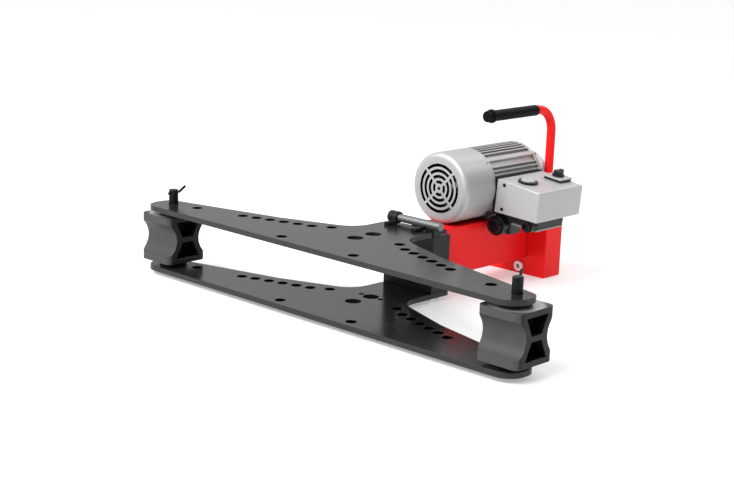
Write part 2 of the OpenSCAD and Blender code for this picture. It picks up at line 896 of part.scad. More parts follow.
module capacitor_tray() {
    color("silver") on_terminal() translate([boss_w + fit - cap_in, cap_front, -cap_h - tray_t])
        cube([cap_w - boss_w - fit, cap_d, tray_t]);
}

module round_gland(diameter, length) {
    difference() {
        union() {
            cylinder(d = diameter, h = length * inlet_step_share);
            cylinder(d = diameter * inlet_core_share, h = length);
        }
        translate([0, 0, length * inlet_step_share]) cylinder(d = diameter * inlet_bore_share, h = length);
    }
}

module inlet_gland() {
    color("black") on_terminal() translate([inlet_out, cap_front, -inlet_drop])
        rotate([90, 0, 0]) round_gland(inlet_d, inlet_l);
}

module cable_gland() {
    color("black") on_terminal() translate([gland_out, cap_front, -gland_drop])
        rotate([90, 0, 0]) round_gland(gland_d, cable_gland_l);
}

module button_bezel() {
    color("black") on_terminal_top(button_at_share) ring(bezel_d, button_d + 2 * fit, bezel_h);
}

module start_button() {
    color("silver") on_terminal_top(button_at_share) translate([0, 0, button_travel + fit])
        cylinder(d = button_d, h = button_h - button_travel);
}

module switch_base() {
    color("black") on_terminal_top(switch_at_share)
        translate([0, base_margin - plate_d / 2, 0])
            box([plate_w - 2 * base_margin, plate_d - 2 * base_margin, base_h]);
}

module switch_plate() {
    color("silver") on_terminal_top(switch_at_share)
        translate([0, -plate_d / 2, base_h]) box([plate_w, plate_d, plate_thick]);
}

module selector_knob() {
    color("black") on_terminal_top(switch_at_share) translate([0, 0, base_h + plate_thick + fit]) {
        cylinder(d = knob_d, h = knob_disc_h);
        translate([0, -knob_d / 2, 0]) intersection() {
            box([knob_grip_w, knob_d, knob_h]);
            translate([0, knob_d / 2, 0]) cylinder(d = knob_d, h = knob_h);
        }
    }
}

module handle_socket() {
    color("red") translate([handle_side, handle_y, housing_top])
        ring(handle_d + 2 * (socket_wall + fit), handle_d + 2 * fit, socket_h);
}

// Upright tube bent forward over the motor
module handle_tube() {
    color("red") {
        translate([handle_side, handle_y, housing_top])
            cylinder(d = handle_d, h = handle_top - bend_r - housing_top);
        translate([handle_side, handle_y - bend_r, handle_top - bend_r]) rotate([90, 0, 90])
            rotate_extrude(angle = 90) translate([bend_r, 0]) circle(d = handle_d);
        translate([handle_side, handle_y - bend_r, handle_top]) rotate([90, 0, 0])
            cylinder(d = handle_d, h = grip_wait + grip_lap);
    }
}

module handle_grip() {
    color("black") translate([handle_side, grip_end, handle_top]) rotate([90, 0, 0]) difference() {
        union() {
            cylinder(d = grip_d, h = grip_l);
            translate([0, 0, grip_l - ball_d / 2]) sphere(d = ball_d);
        }
        translate([0, 0, -overrun]) cylinder(d = handle_d + 2 * fit, h = grip_lap + overrun + fit);
    }
}

module ram_rod() {
    color("silver") on_ram(nose_y) difference() {
        union() {
            cylinder(d = ram_d, h = piston_y - nose_y);
            cylinder(d = spigot_d, h = piston_end - nose_y);
        }
        translate([0, 0, -overrun]) cylinder(d = socket_d, h = socket_depth + overrun);
    }
}

module piston() {
    color("gray") on_ram(piston_y) difference() {
        cylinder(d = tube_inner - 2 * fit, h = piston_l);
        translate([0, 0, -overrun]) cylinder(d = spigot_d + 2 * fit, h = piston_l + 2 * overrun);
        translate([0, 0, (piston_l - seal_w) / 2])
            ring(tube_inner, tube_inner - 2 * (fit + seal_depth), seal_w);
    }
}

module piston_seal() {
    color("black") on_ram(piston_y + (piston_l - seal_w) / 2)
        ring(tube_inner - 2 * fit, tube_inner - 2 * seal_depth, seal_w);
}

// Bending support with a saddle groove front and back and two pockets in each end
module saddle_outline() {
    difference() {
        translate([-support_d / 2, 0]) square([support_d, support_h]);
        for (side = [-1, 1])
            translate([side * (support_d / 2 + groove_r - groove_depth), support_h / 2]) circle(groove_r);
    }
}

module pocket_outline() {
    half_top = support_d / 2 - pocket_flank;
    half_rib = support_d / 2 - groove_depth - pocket_cheek;
    for (flip = [0, 1]) translate([0, support_h / 2]) mirror([0, flip]) polygon([
        [-half_rib, pocket_rib / 2], [half_rib, pocket_rib / 2],
        [half_top, support_h / 2 - pocket_wall], [-half_top, support_h / 2 - pocket_wall]
    ]);
}

module support_plan() {
    for (x = [-1, 1], y = [-1, 1])
        translate([x * (support_w / 2 - support_r), y * (support_d / 2 - support_r)]) circle(support_r);
    square([support_w, support_d - 2 * support_r], center = true);
    square([support_w - 2 * support_r, support_d], center = true);
}

module bending_support() {
    difference() {
        intersection() {
            linear_extrude(support_h) support_plan();
            translate([-support_w / 2, 0, 0]) rotate([90, 0, 90])
                linear_extrude(support_w) saddle_outline();
        }
        for (turn = [0, 180])
            rotate(turn) translate([support_w / 2 - pocket_depth, 0, 0]) rotate([90, 0, 90])
                linear_extrude(pocket_depth + overrun) pocket_outline();
        translate([0, 0, -overrun]) cylinder(d = pin_hole_d, h = support_h + 2 * overrun);
    }
}

module left_support() color("gray") translate([-pin_reach, 0, support_z]) bending_support();

module right_support() color("gray") translate([pin_reach, 0, support_z]) bending_support();

module tip_pin() {
    difference() {
        union() {
            translate([0, 0, pin_lift]) cylinder(d = pin_d, h = pin_top - pin_lift - pin_chamfer);
            translate([0, 0, pin_top - pin_chamfer])
                cylinder(d1 = pin_d, d2 = pin_d - 2 * pin_chamfer, h = pin_chamfer);
        }
        translate([-pin_d, 0, pin_top - bar_drop]) rotate([0, 90, 0])
            cylinder(d = bar_d + 2 * fit, h = 2 * pin_d);
    }
}

// Bar through the pin with one end bent up as a finger pull
module pin_bar() {
    translate([-pin_d / 2 - bar_stub, 0, pin_top - bar_drop]) rotate([0, 90, 0])
        cylinder(d = bar_d, h = pin_d + 2 * bar_stub);
    translate([pin_d / 2 + bar_stub, 0, pin_top - bar_drop + bar_bend_r]) rotate([90, 0, 0]) rotate(-90) {
        rotate_extrude(angle = bar_bend) translate([bar_bend_r, 0]) circle(d = bar_d);
        rotate(bar_bend) translate([bar_bend_r, 0, 0]) rotate([-90, 0, 0])
            cylinder(d = bar_d, h = bar_tail);
    }
}

module left_tip() translate([-pin_reach, 0, 0]) rotate(left_bar_turn) children();

module right_tip() translate([pin_reach, 0, 0]) rotate(right_bar_turn) children();

module left_pin() color("darkslategray") left_tip() tip_pin();

module right_pin() color("darkslategray") right_tip() tip_pin();

module left_pin_bar() color("darkslategray") left_tip() pin_bar();

module right_pin_bar() color("darkslategray") right_tip() pin_bar();

module motor_shaft() {
    color("silver") on_motor(shaft_y) cylinder(d = shaft_d, h = shaft_end - shaft_y);
}

module rotor_core() {
    color("slategray") on_motor(core_y) ring(2 * rotor_r, shaft_d + 2 * fit, core_l);
}

module cooling_fan() {
    color("dimgray") on_motor(fan_y) difference() {
        union() {
            cylinder(d = fan_hub_d, h = fan_l);
            translate([0, 0, fan_l - fan_disc_t]) cylinder(r = fan_r, h = fan_disc_t);
            for (i = [0:fan_blades - 1]) rotate(i * 360 / fan_blades)
                translate([blade_in, -blade_t / 2, 0]) cube([blade_out - blade_in, blade_t, fan_l]);
        }
        translate([0, 0, -overrun]) cylinder(d = shaft_d + 2 * fit, h = fan_l + 2 * overrun);
    }
}

module pump_eccentric() {
    color("silver") on_motor(eccentric_y) difference() {
        translate([0, eccentric_throw, 0]) cylinder(r = eccentric_r, h = eccentric_w);
        translate([0, 0, -overrun]) cylinder(d = shaft_d + 2 * fit, h = eccentric_w + 2 * overrun);
    }
}

centred() lower_wing_plate();
centred() upper_wing_plate();
centred() tip_feet();
centred() support_washers();
centred() cylinder_block();
centred() block_bolts();
centred() hinge_lugs();
centred() hinge_ears();
centred() hinge_rod();
centred() front_flange();
centred() flange_screws();
centred() oil_port_plug();
centred() cylinder_tube();
centred() gland_bush();
centred() rod_wiper();
centred() reservoir_housing();
centred() rear_tank();
centred() tank_lid();
centred() drain_plug();
centred() breather_cap();
centred() motor_cradle();
centred() motor_body();
centred() stator_core();
centred() stator_windings();
centred() fan_end_shield();
centred() fan_end_bearing();
centred() drive_end_shield();
centred() drive_end_bearing();
centred() fan_cowl();
centred() pump_body();
centred() pump_plunger();
centred() terminal_gasket();
centred() terminal_box();
centred() terminal_screws();
centred() capacitor_box();
centred() capacitor_tray();
centred() inlet_gland();
centred() cable_gland();
centred() button_bezel();
centred() switch_base();
centred() switch_plate();
centred() handle_socket();
centred() handle_tube();
centred() handle_grip();
centred() ram_rod();
centred() piston();
centred() piston_seal();
centred() left_support();
centred() right_support();
centred() left_pin();
centred() right_pin();
centred() left_pin_bar();
centred() right_pin_bar();
centred() motor_shaft();
centred() rotor_core();
centred() cooling_fan();
centred() pump_eccentric();
centred() selector_knob();
centred() start_button();
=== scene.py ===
"""Looks of the pipe bender: finishes, edge radii, small fittings, floor, light and camera."""
import json
import math

import bmesh
import bpy
from mathutils import Matrix, Vector


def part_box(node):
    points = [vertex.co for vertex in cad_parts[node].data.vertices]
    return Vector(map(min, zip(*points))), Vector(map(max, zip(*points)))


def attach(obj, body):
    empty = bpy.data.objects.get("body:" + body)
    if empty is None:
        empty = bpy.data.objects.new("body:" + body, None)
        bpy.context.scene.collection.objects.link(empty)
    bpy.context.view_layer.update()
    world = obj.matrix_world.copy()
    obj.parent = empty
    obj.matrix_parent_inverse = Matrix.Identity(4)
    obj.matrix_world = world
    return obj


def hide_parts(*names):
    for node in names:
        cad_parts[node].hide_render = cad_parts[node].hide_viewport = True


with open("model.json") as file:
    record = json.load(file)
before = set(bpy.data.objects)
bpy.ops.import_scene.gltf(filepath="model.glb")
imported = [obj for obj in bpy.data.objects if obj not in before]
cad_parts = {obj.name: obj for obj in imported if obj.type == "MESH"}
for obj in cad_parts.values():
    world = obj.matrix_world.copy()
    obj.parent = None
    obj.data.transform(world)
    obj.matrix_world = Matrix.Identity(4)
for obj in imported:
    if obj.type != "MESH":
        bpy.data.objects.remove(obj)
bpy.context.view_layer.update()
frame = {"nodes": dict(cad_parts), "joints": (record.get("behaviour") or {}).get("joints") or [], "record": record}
nodes = frame["nodes"]

# Camera place and aim, in metres and degrees, its lens for a 36 mm wide sensor, and how far it sees
CAMERA_AT = (2.1493, -2.4926, 0.8954)
CAMERA_AZIMUTH = 43.10
CAMERA_ELEVATION = 13.69
CAMERA_ROLL = 2.04
CAMERA_LENS = 73.84
SENSOR_WIDTH = 36.0
CAMERA_SIGHT = 60.0

# Half the width of the floor sheet, in metres, and its two pale greys
FLOOR_HALF = 14.0
FLOOR_GREYS = ((0.66, 0.66, 0.66), (0.69, 0.69, 0.69))
# Light that shines up through the floor sheet, which keeps the shadows pale
FLOOR_GLOW = 0.34
# Brightness of the tent of light overhead, near the horizon and low on the right
TENT_TOP = (1.02, 1.02, 1.02)
TENT_LOW = (0.64, 0.64, 0.64)
TENT_RIGHT = (0.30, 0.30, 0.31)
# Area lights: where each stands, what it shines on, its width and height in metres, and its power in watts
LIGHTS = {
    "key": {"place": (-0.7, -2.9, 2.8), "target": (0.0, 0.0, 0.1), "size": (3.8, 2.6), "power": 215.0},
    "back": {"place": (0.4, 2.4, 2.4), "target": (0.0, 0.1, 0.25), "size": (1.8, 1.4), "power": 16.0},
}

# Radii of the edges, in metres: castings and folded sheet are rounder than cut plate and turned parts
PLAIN_EDGE = 0.0005
EDGE_RADII = {
    "upper_wing_plate": 0.0010,
    "lower_wing_plate": 0.0010,
    "left_support": 0.0011,
    "right_support": 0.0011,
    "cylinder_block": 0.0015,
    "front_flange": 0.0012,
    "hinge_lugs": 0.0012,
    "hinge_ears": 0.0012,
    "reservoir_housing": 0.0024,
    "rear_tank": 0.0024,
    "tank_lid": 0.0012,
    "motor_body": 0.0008,
    "drive_end_shield": 0.0020,
    "pump_body": 0.0020,
    "motor_cradle": 0.0012,
    "terminal_box": 0.0012,
    "capacitor_box": 0.0030,
    "capacitor_tray": 0.0012,
    "selector_knob": 0.0008,
    "left_pin": 0.0010,
    "right_pin": 0.0010,
}
# Nodes of several solids that touch, and the cowl with its thin grille, keep the edges that they have
PLAIN_NODES = ("left_pin_bar", "right_pin_bar", "block_bolts", "fan_cowl")
SHARPEST_SMOOTH = math.radians(32.0)
FLAT_WITHIN = math.radians(1.0)
WELD_GAP = 0.000002
EDGE_SEGMENTS = 2

# Places of the colour sockets on a Mix node, whose names repeat for each kind of value
MIX_SHARE = 0
MIX_FIRST = 6
MIX_SECOND = 7
MIX_RESULT = 2
# Rays that look for an edge, and rays that look for a pocket
EDGE_RAYS = 4
POCKET_RAYS = 8


class Level:
    """A number that varies over a surface. Arithmetic on it adds the nodes that work it out."""

    def __init__(self, graph, socket):
        self.graph = graph
        self.socket = socket

    def _maths(self, operation, first, second):
        return self.graph.node("ShaderNodeMath", {"operation": operation}, {0: first, 1: second})

    def __add__(self, other):
        return self._maths("ADD", self, other)

    __radd__ = __add__

    def __sub__(self, other):
        return self._maths("SUBTRACT", self, other)

    def __rsub__(self, other):
        return self._maths("SUBTRACT", other, self)

    def __mul__(self, other):
        return self._maths("MULTIPLY", self, other)

    __rmul__ = __mul__

    def __abs__(self):
        return self.graph.node("ShaderNodeMath", {"operation": "ABSOLUTE"}, {0: self})

    def over(self, low, high):
        """0 below low, 1 above high, smooth between."""
        return self.graph.node(
            "ShaderNodeMapRange",
            {"interpolation_type": "SMOOTHSTEP"},
            {"Value": self, "From Min": low, "From Max": high},
        )


class Graph:
    """A node tree that is filled node by node."""

    def __init__(self, tree):
        self.tree = tree

    def feed(self, socket, value):
        """Links a varying value to a socket, or sets an even one on it."""
        if isinstance(value, Level):
            self.tree.links.new(value.socket, socket)
        elif socket.type == "RGBA" and len(value) == 3:
            socket.default_value = (*value, 1.0)
        else:
            socket.default_value = value

    def node(self, kind, settings, sockets, output=0):
        """Adds a node, sets it up, feeds its sockets and gives back one of its outputs."""
        made = self.tree.nodes.new(kind)
        for key, value in settings.items():
            setattr(made, key, value)
        for key, value in sockets.items():
            self.feed(made.inputs[key], value)
        return Level(self, made.outputs[output])

    def mix(self, first, second, share):
        """The first colour where the share is 0, the second where it is 1."""
        return self.node(
            "ShaderNodeMix",
            {"data_type": "RGBA", "clamp_factor": True},
            {MIX_SHARE: share, MIX_FIRST: first, MIX_SECOND: second},
            MIX_RESULT,
        )

    def along(self, vector, axis):
        """How far a vector reaches along X, Y or Z."""
        return self.node("ShaderNodeSeparateXYZ", {}, {0: vector}, axis)


class Finish(Graph):
    """One material on a Principled shader. Values that are even all over go straight on the shader."""

    def __init__(self, name, **even):
        self.material = bpy.data.materials.new(name)
        self.material.use_nodes = True
        super().__init__(self.material.node_tree)
        self.shader = self.tree.nodes["Principled BSDF"]
        for socket, value in even.items():
            self.set(socket.replace("_", " "), value)
        self.place = self.node("ShaderNodeTexCoord", {}, {}, "Object")

    def set(self, socket, value):
        """Sets or links one of the shader's own sockets."""
        self.feed(self.shader.inputs[socket], value)

    def noise(self, scale, detail=3.0, roughness=0.55, stretch=None):
        """Clouds, about this many to a metre, or drawn out by a stretch. Detail adds finer ones."""
        where = self.place
        if stretch:
            where = self.node("ShaderNodeMapping", {}, {"Vector": self.place, "Scale": stretch})
        return self.node(
            "ShaderNodeTexNoise",
            {"noise_dimensions": "3D"},
            {"Vector": where, "Scale": scale, "Detail": detail, "Roughness": roughness},
        )

    def cells(self, scale):
        """Cells, about this many to a metre: 0 at the middle of each, rising outwards."""
        return self.node("ShaderNodeTexVoronoi", {"feature": "F1"}, {"Vector": self.place, "Scale": scale})

    def bump(self, height, strength, depth):
        """Raises and lowers the surface by a depth in metres."""
        relief = {"Height": height, "Strength": strength, "Distance": depth}
        self.set("Normal", self.node("ShaderNodeBump", {}, relief))

    def edges(self, width):
        """1 on edges, fading to 0 a little way in."""
        rounded = self.node("ShaderNodeBevel", {"samples": EDGE_RAYS}, {"Radius": width})
        flat = self.node("ShaderNodeNewGeometry", {}, {}, "Normal")
        dot = {"operation": "DOT_PRODUCT"}
        return 1.0 - self.node("ShaderNodeVectorMath", dot, {0: rounded, 1: flat}, "Value")

    def recesses(self, reach, alone=True):
        """1 deep in a pocket of the piece, or close to other pieces too if not alone, 0 in the open."""
        rays = {"samples": POCKET_RAYS, "only_local": alone}
        return 1.0 - self.node("ShaderNodeAmbientOcclusion", rays, {"Distance": reach}, "AO")

    def upright(self):
        """1 on upright faces, 0 on level ones."""
        normal = self.node("ShaderNodeNewGeometry", {}, {}, "Normal")
        return 1.0 - abs(self.along(normal, "Z")).over(0.3, 0.7)

    def level(self):
        """1 on faces that lie flat, 0 on any that slope."""
        normal = self.node("ShaderNodeNewGeometry", {}, {}, "Normal")
        return abs(self.along(normal, "Z")).over(0.94, 0.98)

    def cheeks(self):
        """1 on the faces that look along the piece's own X, 0 on the others."""
        normal = self.node("ShaderNodeTexCoord", {}, {}, "Normal")
        return abs(self.along(normal, "X")).over(0.72, 0.95)

    def near_bore(self, bore, within, beyond):
        """1 close to an upright bore and its mirror image on the other wing, 0 further away."""
        along = abs(self.along(self.place, "X")) - abs(bore.x)
        across = self.along(self.place, "Y") - bore.y
        return 1.0 - (along * along + across * across).over(within ** 2, beyond ** 2)

    def scratches(self, stretch, least):
        """Sparse fine lines, drawn out along the axes with the smallest stretch."""
        return self.noise(1.0, 2.0, 0.5, stretch).over(least, least + 0.03)


def scaled(colour, by):
    """The colour made lighter or darker."""
    return tuple(min(1.0, channel * by) for channel in colour)


def plate_paint(name, colour):
    """Glossy black paint on rolled plate: ripple, hairlines, dust, drag lines on cuts and painted shade that
    blackens each hole.
    """
    dust_grey = (0.075, 0.075, 0.078)
    rubbed_grey = (0.16, 0.16, 0.165)
    black = (0.0, 0.0, 0.0)
    rub_width = 0.0016
    hole_shade_reach = 0.03
    relief = 0.0008
    finish = Finish(name, IOR=1.46, Specular_IOR_Level=0.38)
    ripple = finish.noise(14.0, 3.0)
    cut = finish.upright()
    drag = finish.noise(1.0, 2.0, 0.6, (520.0, 520.0, 26.0))
    specks = 1.0 - finish.cells(130.0).over(0.055, 0.10)
    lines = finish.scratches((9.0, 420.0, 9.0), 0.69) * finish.noise(7.0).over(0.5, 0.62)
    rub = finish.edges(rub_width).over(0.05, 0.25) * finish.noise(85.0, 5.0, 0.7).over(0.5, 0.66)
    # Painted shade: near black deep in each hole, where the plate shades itself
    painted_hole_shade = finish.recesses(hole_shade_reach).over(0.08, 0.24)
    shade = finish.mix(scaled(colour, 0.8), scaled(colour, 1.25), ripple)
    shade = finish.mix(shade, dust_grey, lines * 0.3 + specks * 0.35)
    shade = finish.mix(shade, colour, cut * 0.8)
    shade = finish.mix(shade, rubbed_grey, rub * 0.6)
    finish.set("Base Color", finish.mix(shade, black, painted_hole_shade))
    # Painted shade in each hole: the paint turns into a black metal there, which reflects next to nothing, so the
    # hole walls stay dark
    finish.set("Metallic", painted_hole_shade)
    finish.set("Roughness", 0.15 + ripple * 0.08 + cut * 0.20 + lines * 0.2 + rub * 0.15)
    finish.bump(ripple * 0.5 + finish.noise(240.0, 2.0) * 0.16 + drag * cut * 0.7, 0.10, relief)
    return finish.material


def paint(
    name,
    colour,
    roughness,
    worn,
    peel=0.06,
    metallic=0.0,
    specular=0.5,
    speckle=0.0,
    corner_shade=0.0,
    shade=0.0,
    slot_shade=0.0,
):
    """Sprayed paint: orange peel, drift in the colour, and edges rubbed to the worn colour.

    Speckle and painted shade in corners, next to other pieces and inside a grille are shares from 0 to 1.
    """
    rub_width = 0.0018
    corner_shade_reach = 0.012
    shade_reach = 0.06
    slot_shade_reach = 0.2
    relief = 0.0006
    finish = Finish(name, Metallic=metallic, Specular_IOR_Level=specular)
    drift = finish.noise(9.0, 4.0)
    rub = finish.edges(rub_width).over(0.05, 0.24) * finish.noise(60.0, 5.0, 0.7).over(0.52, 0.70)
    body = finish.mix(scaled(colour, 0.93), scaled(colour, 1.06), drift)
    if speckle:
        flakes = finish.noise(520.0, 2.0).over(0.55, 0.75)
        body = finish.mix(body, scaled(colour, 1.25), flakes * speckle)
    if corner_shade:
        # Painted shade: darker in corners and recesses of the piece, where little light reaches
        corners = finish.recesses(corner_shade_reach).over(0.25, 0.80)
        body = finish.mix(body, scaled(colour, 0.12), corners * corner_shade)
    if shade:
        # Painted shadow: darker where other pieces stand close over the paint
        close = finish.recesses(shade_reach, alone=False).over(0.45, 0.90)
        body = finish.mix(body, scaled(colour, 0.25), close * shade)
    body = finish.mix(body, worn, rub * 0.6)
    if slot_shade:
        # Painted shade: near black inside a grille, all through the hollow behind it
        painted_slot_shade = finish.recesses(slot_shade_reach).over(0.08, 0.30) * slot_shade
        body = finish.mix(body, scaled(colour, 0.01), painted_slot_shade)
        # Painted shade again as black metal, so that light doesn't show up the walls of the grille's slits
        finish.set("Metallic", metallic + painted_slot_shade * (1.0 - metallic))
    finish.set("Base Color", body)
    finish.set("Roughness", roughness - 0.05 + drift * 0.1 + rub * 0.15)
    finish.bump(finish.noise(330.0, 2.0) + drift * 0.4, peel, relief)
    return finish.material


def cast_skin(name, colour, roughness, bore):
    """Sand-cast skin: pimples, blotches, painted shade on the cheeks and in the pockets, and knocked edges.

    The flat faces round the bore are machined bare as seats for the washers, and painted lighter as a painted
    highlight.
    """
    seat_and_highlight_grey = (0.46, 0.46, 0.47)
    seat_radius = 0.047
    seat_fade = 0.060
    rub_width = 0.003
    pocket_shade_reach = 0.06
    relief = 0.0009
    finish = Finish(name, Specular_IOR_Level=0.22)
    blotch = finish.noise(26.0, 5.0, 0.6)
    sand = finish.noise(420.0, 3.0, 0.6)
    pits = finish.cells(300.0)
    rub = finish.edges(rub_width).over(0.03, 0.2) * finish.noise(45.0, 4.0, 0.7).over(0.42, 0.66)
    # Painted shade: near black deep in the pockets
    pocket_shade = finish.recesses(pocket_shade_reach).over(0.28, 0.52)
    body = finish.mix(scaled(colour, 0.86), scaled(colour, 1.14), blotch)
    # Painted shade: the cheeks along the piece's own X much darker, as if turned from the light
    body = finish.mix(body, scaled(colour, 0.30), finish.cheeks())
    body = finish.mix(body, scaled(colour, 1.5), rub * 0.5)
    body = finish.mix(body, scaled(colour, 0.05), pocket_shade)
    # Seats round the bore: bare metal, lighter still as a painted highlight of light from above
    seat_and_highlight = finish.near_bore(bore, seat_radius, seat_fade) * finish.level() * (1.0 - pocket_shade)
    finish.set("Base Color", finish.mix(body, seat_and_highlight_grey, seat_and_highlight))
    finish.set("Metallic", seat_and_highlight * 0.6)
    finish.set("Roughness", roughness - 0.07 + blotch * 0.14 - seat_and_highlight * 0.12)
    finish.bump(sand + pits * 0.6, 0.22, relief)
    return finish.material


def turned_steel(name, colour, roughness, along, metallic=1.0, specular=0.5):
    """Turned or ground metal with fine marks that run along one axis."""
    marks_along = 14.0
    marks_across = 420.0
    rub_width = 0.001
    relief = 0.0004
    finish = Finish(name, Metallic=metallic, Specular_IOR_Level=specular)
    stretch = tuple(marks_along if axis == along else marks_across for axis in "XYZ")
    marks = finish.noise(1.0, 3.0, 0.6, stretch)
    smear = finish.noise(34.0, 4.0)
    rub = finish.edges(rub_width).over(0.05, 0.25) * finish.noise(110.0, 4.0).over(0.45, 0.62)
    body = finish.mix(scaled(colour, 0.8), colour, smear)
    finish.set("Base Color", finish.mix(body, scaled(colour, 1.5), rub * 0.6))
    finish.set("Roughness", roughness - 0.08 + marks * 0.12 + smear * 0.06)
    finish.bump(marks, 0.12, relief)
    return finish.material


def moulded(name, colour, roughness, grain=300.0, strength=0.16, specular=0.3):
    """Moulded plastic or rubber with a fine leathery grain."""
    relief = 0.0005
    finish = Finish(name, Specular_IOR_Level=specular)
    haze = finish.noise(30.0, 4.0)
    finish.set("Base Color", finish.mix(scaled(colour, 0.8), scaled(colour, 1.3), haze))
    finish.set("Roughness", roughness - 0.06 + haze * 0.12)
    finish.bump(finish.cells(grain), strength, relief)
    return finish.material


# Silver paint of the motor and its cowl, fresh and rubbed
SILVER = (0.44, 0.44, 0.445)
WORN_SILVER = (0.58, 0.58, 0.58)
# A support is the same on both sides of its bore, so the middle of its box lies in the bore
SUPPORT_BORE = sum(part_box("right_support"), Vector()) / 2.0
FINISHES = {
    "plate_black": plate_paint("plate_black", (0.013, 0.013, 0.014)),
    "frame_black": paint("frame_black", (0.008, 0.008, 0.009), 0.36, (0.10, 0.10, 0.105), specular=0.22),
    "cast_grey": cast_skin("cast_grey", (0.046, 0.047, 0.049), 0.50, SUPPORT_BORE),
    "pin_steel": turned_steel("pin_steel", (0.007, 0.007, 0.008), 0.34, "Z", metallic=0.0, specular=0.15),
    "bright_steel": turned_steel("bright_steel", (0.78, 0.78, 0.79), 0.24, "Y"),
    "dark_steel": turned_steel("dark_steel", (0.23, 0.23, 0.235), 0.52, "X"),
    "bronze": turned_steel("bronze", (0.62, 0.42, 0.2), 0.3, "Y"),
    "copper_winding": turned_steel("copper_winding", (0.52, 0.22, 0.09), 0.42, "Y"),
    "seal_rubber": moulded("seal_rubber", (0.003, 0.003, 0.003), 0.6, specular=0.1),
    "red_paint": paint(
        "red_paint",
        (0.90, 0.012, 0.014),
        0.34,
        (0.5, 0.01, 0.01),
        peel=0.05,
        specular=0.12,
        corner_shade=0.3,
        shade=0.6,
    ),
    "motor_grey": paint(
        "motor_grey", SILVER, 0.44, WORN_SILVER, peel=0.05, metallic=0.5, speckle=0.2, corner_shade=0.5
    ),
    "cowl_grey": paint(
        "cowl_grey", SILVER, 0.44, WORN_SILVER, peel=0.05, metallic=0.5, speckle=0.2, slot_shade=1.0
    ),
    "pump_grey": paint("pump_grey", (0.11, 0.11, 0.115), 0.45, (0.3, 0.3, 0.3), peel=0.1),
    "box_grey": paint(
        "box_grey",
        (0.43, 0.43, 0.435),
        0.40,
        (0.60, 0.60, 0.60),
        peel=0.08,
        metallic=0.2,
        speckle=0.2,
        corner_shade=0.3,
    ),
    "cap_grey": moulded("cap_grey", (0.019, 0.019, 0.020), 0.45),
    "black_plastic": moulded("black_plastic", (0.005, 0.005, 0.006), 0.36),
    "grip_rubber": moulded(
        "grip_rubber", (0.002, 0.002, 0.0025), 0.52, grain=240.0, strength=0.2, specular=0.08
    ),
    # Painted shade darkens the socket of the drain plug
    "plug_zinc": paint("plug_zinc", (0.94, 0.94, 0.94), 0.4, (0.95, 0.95, 0.95), peel=0.04, corner_shade=1.0),
    "tray_grey": paint("tray_grey", (0.22, 0.22, 0.225), 0.4, (0.4, 0.4, 0.4)),
}
# Nodes whose finish is another than their slot's
OTHER_FINISH = {
    "fan_cowl": "cowl_grey",
    "pump_body": "motor_grey",
    "drain_plug": "plug_zinc",
    "capacitor_tray": "tray_grey",
}


def dress_frame():
    """Gives each frame node its finish and real radii on its edges."""
    for subpart in frame["record"]["subparts"]:
        name = subpart["node"]
        node = nodes[name]
        node.data.materials.clear()
        node.data.materials.append(FINISHES[OTHER_FINISH.get(name, subpart["material_slot"])])
        if name not in PLAIN_NODES:
            round_edges(node, EDGE_RADII.get(name, PLAIN_EDGE))


def round_edges(node, radius):
    """Joins the node's facets into whole faces, then breaks its edges and smooths its curves."""
    for attribute in ("custom_normal", "sharp_edge", "sharp_face"):
        found = node.data.attributes.get(attribute)
        if found:
            node.data.attributes.remove(found)
    weld = node.modifiers.new("weld", "WELD")
    weld.merge_threshold = WELD_GAP
    whole = node.modifiers.new("whole_faces", "DECIMATE")
    whole.decimate_type = "DISSOLVE"
    whole.angle_limit = FLAT_WITHIN
    edge = node.modifiers.new("edge_radius", "BEVEL")
    edge.width = radius
    edge.segments = EDGE_SEGMENTS
    edge.limit_method = "ANGLE"
    edge.angle_limit = SHARPEST_SMOOTH
    edge.use_clamp_overlap = False
    edge.miter_outer = "MITER_ARC"
    normals = node.modifiers.new("even_shading", "WEIGHTED_NORMAL")
    normals.keep_sharp = False


# Sides of a turned fitting: a number that has corners for a hexagon and for a cross recess
SIDES = 48
# Half the width of a cross recess's arm, as a share of its reach
ARM_SHARE = math.tan(math.radians(15.0))
# How far the foot of a fitting is let into what carries it, in metres
SUNK = 0.0003
# Heads in metres: half the width, or half across the flats, and the height
COWL_SCREW = (0.0034, 0.0020)
TIE_BOLT = (0.0050, 0.0055)
PUMP_SCREW = (0.0050, 0.0050)
# Turns in degrees at which they stand round the motor's axis
COWL_SCREW_TURNS = (45.0, 135.0, 225.0, 315.0)
TIE_BOLT_TURNS = (50.0, 130.0, 230.0, 310.0)
PUMP_SCREW_TURNS = (40.0, 140.0)


def outline_reach(outline, angle):
    """How far an outline of unit size reaches from its middle at an angle."""
    if outline == "hexagon":
        return 1.0 / math.cos(angle % (math.pi / 3) - math.pi / 6)
    if outline == "cross":
        fold = angle % (math.pi / 2)
        fold = min(fold, math.pi / 2 - fold)
        return min(1.0 / math.cos(fold), ARM_SHARE / max(math.sin(fold), ARM_SHARE / 2))
    return 1.0


def turned(*rings):
    """Closed form round Z. A ring is an outline, its half width and its height, from foot to crown."""
    form = bmesh.new()
    loops = []
    for outline, half_width, height in rings:
        loop = []
        for side in range(SIDES):
            angle = 2.0 * math.pi * side / SIDES
            reach = half_width * outline_reach(outline, angle)
            loop.append(form.verts.new((reach * math.cos(angle), reach * math.sin(angle), height)))
        loops.append(loop)
    join_loops(form, loops)
    close_ends(form, loops)
    return form


def join_loops(form, loops):
    """Skins each loop of points to the next one."""
    for low, high in zip(loops, loops[1:]):
        for side in range(len(low)):
            after = (side + 1) % len(low)
            form.faces.new((low[side], low[after], high[after], high[side]))


def close_ends(form, loops):
    """Caps the first loop and the last one."""
    form.faces.new(reversed(loops[0]))
    form.faces.new(loops[-1])


